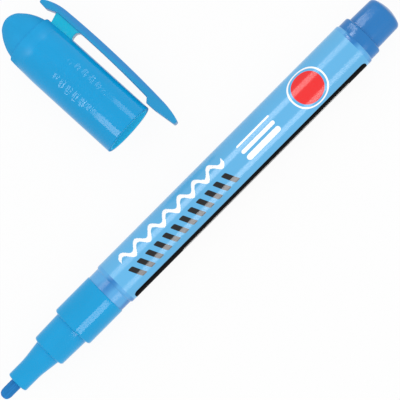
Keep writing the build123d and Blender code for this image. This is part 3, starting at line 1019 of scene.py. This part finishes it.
def strip_light(name, eye, placement, pieces, row, glow):
    """Long lamp whose mirror image the eye meets on a round piece, at a place along it and a slant."""
    normal = placement.to_3x3() @ Vector((0, sin(row["slant"]), cos(row["slant"])))
    spot = placement @ Vector((row["along"], 0, 0)) + normal * row["radius"]
    sight = (eye - spot).normalized()
    away = 2 * normal.dot(sight) * normal - sight
    across = (placement.to_3x3() @ Vector((1, 0, 0))).cross(away).normalized()
    lamp = bpy.data.lights.new(name, "AREA")
    lamp.shape = "RECTANGLE"
    lamp.size = row["width"]
    lamp.size_y = row["reach"]
    lamp.energy = glow * row["share"] * pi * lamp.size * lamp.size_y
    light = bpy.data.objects.new(name, lamp)
    light.visible_camera = False
    light.visible_diffuse = row["lights"]
    light.visible_glossy = row["shows"]
    light.light_linking.receiver_collection = pieces
    light.location = spot + away * row["distance"]
    light.rotation_euler = Matrix((across, away.cross(across), away)).transposed().to_euler()
    bpy.context.scene.collection.objects.link(light)


def lamp_row(on, along, slant, radius, width, reach, distance, share, shows=True, lights=False):
    """Strip light in millimetres and degrees from a piece's top, with its share of the glow and its use."""
    return {
        "on": on,
        "along": along * MM,
        "slant": radians(slant),
        "radius": radius * MM,
        "width": width * MM,
        "reach": reach * MM,
        "distance": distance * MM,
        "share": share,
        "shows": shows,
        "lights": lights,
    }


STRIPS = {
    "label_near": lamp_row("label", 0.0, 12.6, 6.0, 690, 290, 1500, 1.05, lights=True),
    "label_far": lamp_row("label", 0.0, -31.4, 6.0, 690, 290, 1500, 1.05, lights=True),
    "front_fill_near": lamp_row("front", 0.0, 12.6, 6.0, 690, 290, 1500, 1.05, shows=False, lights=True),
    "front_fill_far": lamp_row("front", 0.0, -31.4, 6.0, 690, 290, 1500, 1.05, shows=False, lights=True),
    "grip": lamp_row("front", -50.8, -24.0, 5.85, 22, 17.5, 35, 0.95),
    "collar": lamp_row("label", 42.6, 16.5, 5.7, 8, 1.6, 20, 2.0),
    "knob": lamp_row("label", 49.0, 27.0, 4.85, 60, 7.4, 60, 1.2),
    "cap_fill": lamp_row("cap", 20.0, -5.0, 7.2, 130, 178, 400, 0.65, shows=False, lights=True),
    "cap_fill_far": lamp_row("cap", 20.0, 27.0, 7.2, 130, 178, 400, 0.35, shows=False, lights=True),
    "cap_near": lamp_row("cap", 45.0, -20.7, 7.2, 190, 178, 400, 1.0),
    "cap_near_rear": lamp_row("cap", -100.0, -20.7, 7.2, 190, 67, 400, 2.2),
    "cap_far": lamp_row("cap", 47.0, 24.5, 7.2, 150, 172, 400, 0.5),
    "cap_far_rear": lamp_row("cap", -100.0, 24.5, 7.2, 150, 67, 400, 1.7),
}
LIT_PIECES = {
    "label": ("barrel_tube", "label_film", "tail_plug"),
    "front": ("grip_body", "nib"),
    "cap": ("cap_body", "cap_inner_seal", "clip_stalk", "pocket_clip"),
}


class MARKER_OT_stage(bpy.types.Operator):
    """Set the table, the light and the camera"""

    bl_idname = "marker.stage"
    bl_label = "Stage"

    def execute(self, context):
        scene = context.scene
        stage = scene.marker_stage
        scene.view_settings.view_transform = "Standard"

        work = bmesh.new()
        bmesh.ops.create_grid(work, x_segments=2, y_segments=2, size=stage.table_size / 2)
        bmesh.ops.translate(work, vec=(0, 0, cad_low.z), verts=work.verts[:])
        table = finished_piece(work, "table", Matrix.Identity(4), self.table_finish(stage), radians(35))

        scene.world = self.even_sky(stage)

        view = bpy.data.cameras.new("camera")
        view.sensor_width = 36.0
        view.lens = view.sensor_width * stage.camera_distance / stage.view_width
        camera = bpy.data.objects.new("camera", view)
        lean = Matrix.Rotation(stage.camera_lean, 3, "X")
        target = Vector((stage.camera_x, stage.camera_y, 0))
        camera.location = target + lean @ Vector((0, 0, stage.camera_distance))
        camera.rotation_euler = (lean @ Matrix.Rotation(stage.camera_turn, 3, "Z")).to_euler()
        scene.collection.objects.link(camera)
        scene.camera = camera

        lit = {}
        for group, names in LIT_PIECES.items():
            lit[group] = bpy.data.collections.new(group + "_lit")
            for name in names:
                lit[group].objects.link(cad_nodes.get(name) or bpy.data.objects[name])
        for name, row in STRIPS.items():
            placement = cap_placement() if row["on"] == "cap" else Matrix.Identity(4)
            strip_light(name, camera.location, placement, lit[row["on"]], row, stage.strip_glow)
        return {"FINISHED"}

    def table_finish(self, stage):
        """White table that keeps a soft shadow and meets a white background."""
        finish = Finish("white_table", {"Base Color": (0.95, 0.95, 0.95, 1), "Roughness": 0.9})
        seen = finish.seen_rays()
        glow = finish.node("ShaderNodeEmission", {}, {"Color": (1, 1, 1, 1), "Strength": 1.0})
        diffuse = Value(finish, finish.shader.outputs[0])
        mixed = finish.node("ShaderNodeMixShader", {}, {0: seen * stage.table_lift, 1: diffuse, 2: glow})
        output = finish.tree.nodes["Material Output"]
        finish.fill(output, {"Surface": mixed})
        return finish.material

    def even_sky(self, stage):
        """Even light, white where the camera, a mirror or a clear piece shows it."""
        sky = bpy.data.worlds.new("sky")
        sky.use_nodes = True
        nodes = NodeTree(sky.node_tree)
        strength = stage.sky + nodes.seen_rays() * (1.0 - stage.sky)
        nodes.fill(nodes.tree.nodes["Background"], {"Color": (1, 1, 1, 1), "Strength": strength})
        return sky


class MARKER_PT_panel(bpy.types.Panel):
    """Sidebar panel with the steps and the sizes they use"""

    bl_idname = "MARKER_PT_panel"
    bl_label = "Chalk marker"
    bl_space_type = "VIEW_3D"
    bl_region_type = "UI"
    bl_category = "Marker"

    def draw(self, context):
        layout = self.layout
        for step in STEPS:
            layout.operator(step.bl_idname)
        for name, group in GROUPS.items():
            box = layout.box()
            settings = getattr(context.scene, name)
            for key in group.__annotations__:
                box.prop(settings, key)


STEPS = (
    MARKER_OT_barrel,
    MARKER_OT_label,
    MARKER_OT_front,
    MARKER_OT_inside,
    MARKER_OT_cap,
    MARKER_OT_clip,
    MARKER_OT_stage,
)
GROUPS = {
    "marker_colours": MarkerColours,
    "marker_print": MarkerPrint,
    "marker_pen": MarkerPen,
    "marker_cap": MarkerCap,
    "marker_stage": MarkerStage,
}


def register():
    for group in GROUPS.values():
        bpy.utils.register_class(group)
    for name, group in GROUPS.items():
        setattr(bpy.types.Scene, name, PointerProperty(type=group))
    for step in STEPS:
        bpy.utils.register_class(step)
    bpy.utils.register_class(MARKER_PT_panel)


def unregister():
    bpy.utils.unregister_class(MARKER_PT_panel)
    for step in reversed(STEPS):
        bpy.utils.unregister_class(step)
    for name in GROUPS:
        delattr(bpy.types.Scene, name)
    for group in reversed(GROUPS.values()):
        bpy.utils.unregister_class(group)


def main():
    register()
    bpy.ops.marker.barrel()
    bpy.ops.marker.label()
    bpy.ops.marker.front()
    bpy.ops.marker.inside()
    bpy.ops.marker.cap()
    bpy.ops.marker.clip()
    bpy.ops.marker.stage()


if __name__ == "__main__":
    main()
